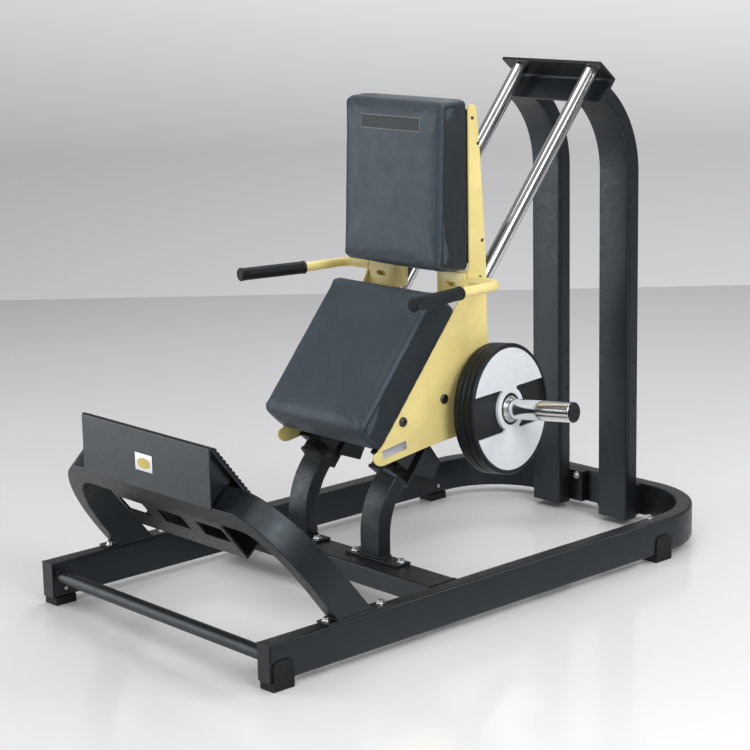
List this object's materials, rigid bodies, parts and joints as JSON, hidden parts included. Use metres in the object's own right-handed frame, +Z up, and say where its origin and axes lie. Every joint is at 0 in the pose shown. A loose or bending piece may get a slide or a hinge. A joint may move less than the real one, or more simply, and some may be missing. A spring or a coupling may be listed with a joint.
{
  "type": "hack squat machine",
  "caption": "Plate-loaded hack squat machine: padded seat carriage sliding on inclined chrome rods above a low bowed base, with handles, weight horns and a sloping foot platform.",
  "frame": {"origin": "on the floor, under the centre of the overall bounding box", "axes": "+Z up, +Y towards the rear bow and the uprights (the front, with the foot platform, faces -Y), +X to the right of someone who looks from the front towards +Y"},
  "size_m": [0.8742, 1.56, 1.2444],
  "materials": {
    "charcoal_paint": "satin powder coat",
    "yellow_paint": "satin powder coat",
    "chromed_steel": "polished",
    "black_rubber": "matte moulded",
    "upholstery": "grained synthetic upholstery, low sheen",
    "painted_board": "painted matte",
    "black_plastic": "matte moulded",
    "white_face": "satin paint"
  },
  "bodies": {
    "frame": {"arch_flange_left": "charcoal_paint", "arch_flange_right": "charcoal_paint", "base_rail": "charcoal_paint", "cross_member": "charcoal_paint", "foot_front_left": "black_rubber", "foot_front_right": "black_rubber", "foot_rear_left": "black_rubber", "foot_rear_right": "black_rubber", "footplate": "charcoal_paint", "front_crossbar": "charcoal_paint", "guide_rod_left": "chromed_steel", "guide_rod_right": "chromed_steel", "leg_flange_left": "charcoal_paint", "leg_flange_right": "charcoal_paint", "leg_head_left": "charcoal_paint", "leg_head_right": "charcoal_paint", "leg_left": "charcoal_paint", "leg_right": "charcoal_paint", "platform_arch": "charcoal_paint", "platform_end": "charcoal_paint", "platform_rib_left": "charcoal_paint", "platform_rib_right": "charcoal_paint", "platform_skin": "charcoal_paint", "rail_cap_left": "black_plastic", "rail_cap_right": "black_plastic", "rod_bumper_left": "black_rubber", "rod_bumper_right": "black_rubber", "top_bracket": "charcoal_paint", "tread_mat": "black_rubber", "upright_left": "charcoal_paint", "upright_right": "charcoal_paint", "upright_shoe_left": "charcoal_paint", "upright_shoe_right": "charcoal_paint"},
    "carriage": {"back_board": "painted_board", "back_pad": "upholstery", "bearing_lower_left": "charcoal_paint", "bearing_lower_right": "charcoal_paint", "bearing_upper_left": "charcoal_paint", "bearing_upper_right": "charcoal_paint", "frame_block_left": "yellow_paint", "frame_block_right": "yellow_paint", "grip_left": "black_rubber", "grip_right": "black_rubber", "handle_left": "yellow_paint", "handle_right": "yellow_paint", "horn_cap_left": "black_plastic", "horn_cap_right": "black_plastic", "horn_left": "chromed_steel", "horn_right": "chromed_steel", "horn_tube": "charcoal_paint", "seat_board": "painted_board", "seat_pad": "upholstery", "side_plate_left": "yellow_paint", "side_plate_right": "yellow_paint"},
    "inner_plate_right": {"plate_inner_right": "black_rubber"},
    "outer_plate_right": {"plate_face_right": "white_face", "plate_outer_right": "black_rubber"},
    "inner_plate_left": {"plate_inner_left": "black_rubber"},
    "outer_plate_left": {"plate_face_left": "white_face", "plate_outer_left": "black_rubber"}
  },
  "joints": [
    {"name": "carriage_slide", "type": "slide", "parent": "frame", "child": "carriage", "axis": [0, 0.6388, 0.7694], "range_m": [0, 0.55]},
    {"name": "inner_plate_slide_right", "type": "slide", "parent": "carriage", "child": "inner_plate_right", "axis": [0.9842, 0.1559, 0.0837], "range_m": [0, 0.07]},
    {"name": "outer_plate_slide_right", "type": "slide", "parent": "inner_plate_right", "child": "outer_plate_right", "axis": [0.9842, 0.1559, 0.0837], "range_m": [0, 0.105]},
    {"name": "inner_plate_slide_left", "type": "slide", "parent": "carriage", "child": "inner_plate_left", "axis": [-0.9842, 0.1559, 0.0837], "range_m": [0, 0.07]},
    {"name": "outer_plate_slide_left", "type": "slide", "parent": "inner_plate_left", "child": "outer_plate_left", "axis": [-0.9842, 0.1559, 0.0837], "range_m": [0, 0.105]}
  ]
}
